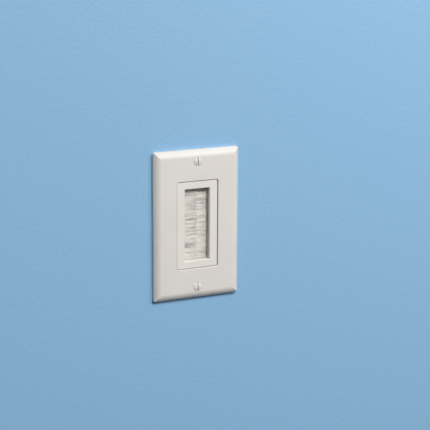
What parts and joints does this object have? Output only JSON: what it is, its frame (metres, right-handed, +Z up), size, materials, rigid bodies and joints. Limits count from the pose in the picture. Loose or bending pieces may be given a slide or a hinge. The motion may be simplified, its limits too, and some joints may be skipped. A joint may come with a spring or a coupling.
{
  "type": "cable entry brush plate",
  "caption": "Decorator wall plate with a recessed opening closed by two rows of bristles, so cables pass through the wall and the hole stays covered.",
  "frame": {"origin": "middle of the plate on the face of the wall, which is the middle of the box-screw pattern", "axes": "+Z up along the plate's length, -Y out of the wall to the front, +X to the right as seen from the front"},
  "size_m": [0.0698, 0.0168, 0.1142],
  "materials": {
    "plate_plastic": "smooth moulded, satin gloss",
    "insert_plastic": "smooth moulded, satin gloss",
    "retainer_plastic": "moulded, matte",
    "bristle": "fine nylon filaments",
    "channel_metal": "folded sheet, mill finish",
    "wire_steel": "drawn wire",
    "painted_screw": "glossy paint over steel",
    "screw_steel": "zinc plated"
  },
  "bodies": {
    "root": {"wall_plate": "plate_plastic", "insert_frame": "insert_plastic", "brush_retainer": "retainer_plastic", "left_bristles": "bristle", "right_bristles": "bristle", "left_channel": "channel_metal", "right_channel": "channel_metal", "left_core_wire": "wire_steel", "right_core_wire": "wire_steel", "plate_screws": "painted_screw", "retainer_screws": "screw_steel"}
  },
  "joints": []
}
